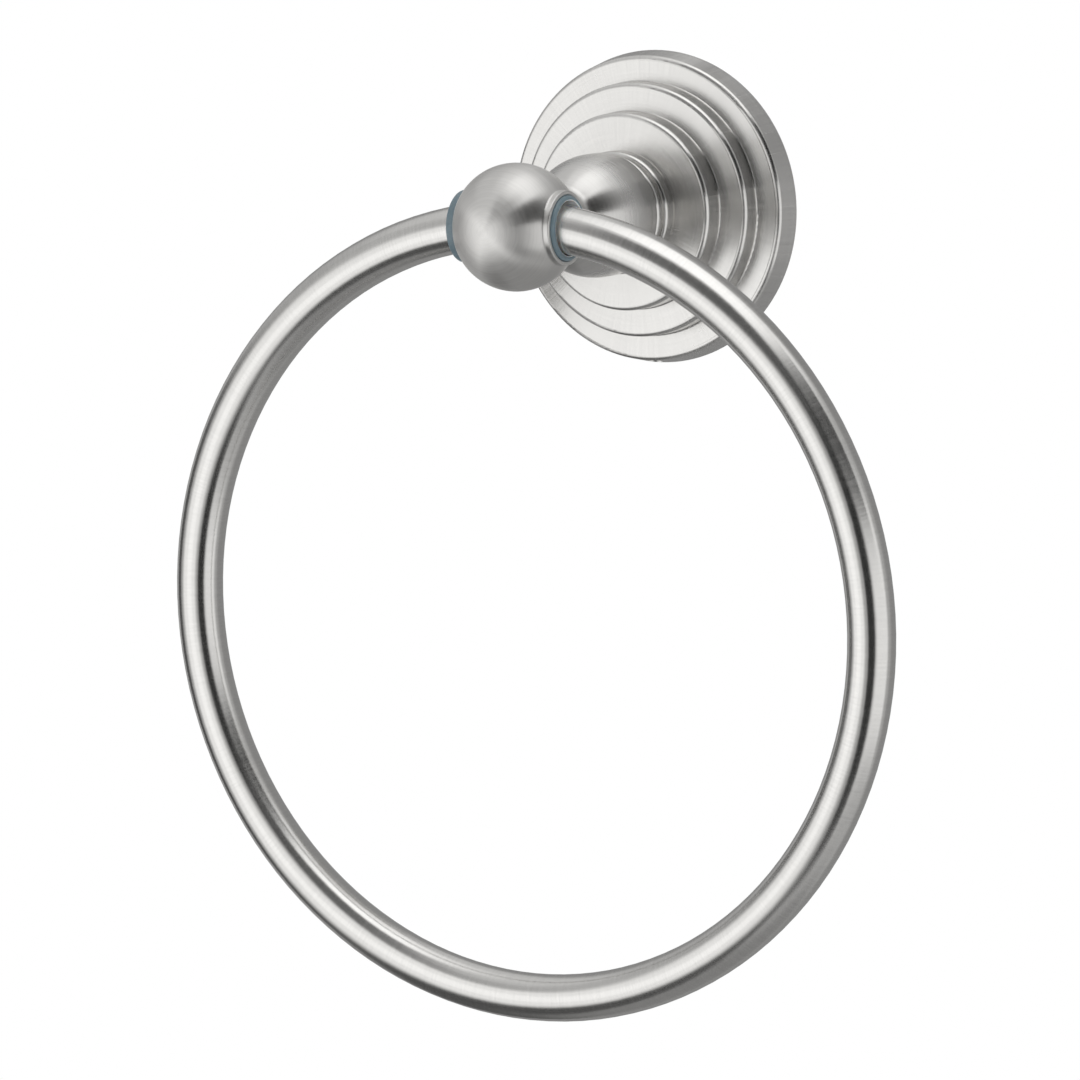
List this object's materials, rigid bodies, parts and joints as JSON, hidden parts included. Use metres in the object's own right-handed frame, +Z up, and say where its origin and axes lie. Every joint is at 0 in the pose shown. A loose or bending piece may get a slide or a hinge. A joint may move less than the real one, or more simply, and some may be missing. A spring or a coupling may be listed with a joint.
{
  "type": "towel ring holder",
  "caption": "Wall-mounted towel ring: round stepped flange, bell-shaped post with a ball end, and a round tube ring that hangs and swings in a plastic sleeve in the ball.",
  "frame": {"origin": "centre of the wall face, where the bracket and the flange meet the wall", "axes": "+Y into the wall, +Z up, +X to the right for someone who faces the wall; the post stands out along -Y"},
  "size_m": [0.1654, 0.0708, 0.1926],
  "materials": {
    "satin_nickel": "brushed satin nickel plating on a turned casting",
    "satin_nickel_tube": "brushed satin nickel plating on round tube, brushed across the tube",
    "sleeve_plastic": "blue-grey translucent moulded plastic",
    "zinc_plated_steel": "bright zinc plated screws and washer",
    "bracket_casting": "plain as-cast light alloy"
  },
  "bodies": {
    "holder": {"wall_flange": "satin_nickel", "post": "satin_nickel", "ring_sleeve": "sleeve_plastic", "post_screw": "zinc_plated_steel", "screw_washer": "zinc_plated_steel", "wall_bracket": "bracket_casting", "set_screw": "zinc_plated_steel"},
    "ring": {"towel_ring": "satin_nickel_tube"}
  },
  "joints": [
    {"name": "ring_swing", "type": "hinge", "parent": "holder", "child": "ring", "pos_m": [0, -0.058, 0], "axis": [-1, 0, 0], "range_deg": [-19.5, 199.5]}
  ]
}
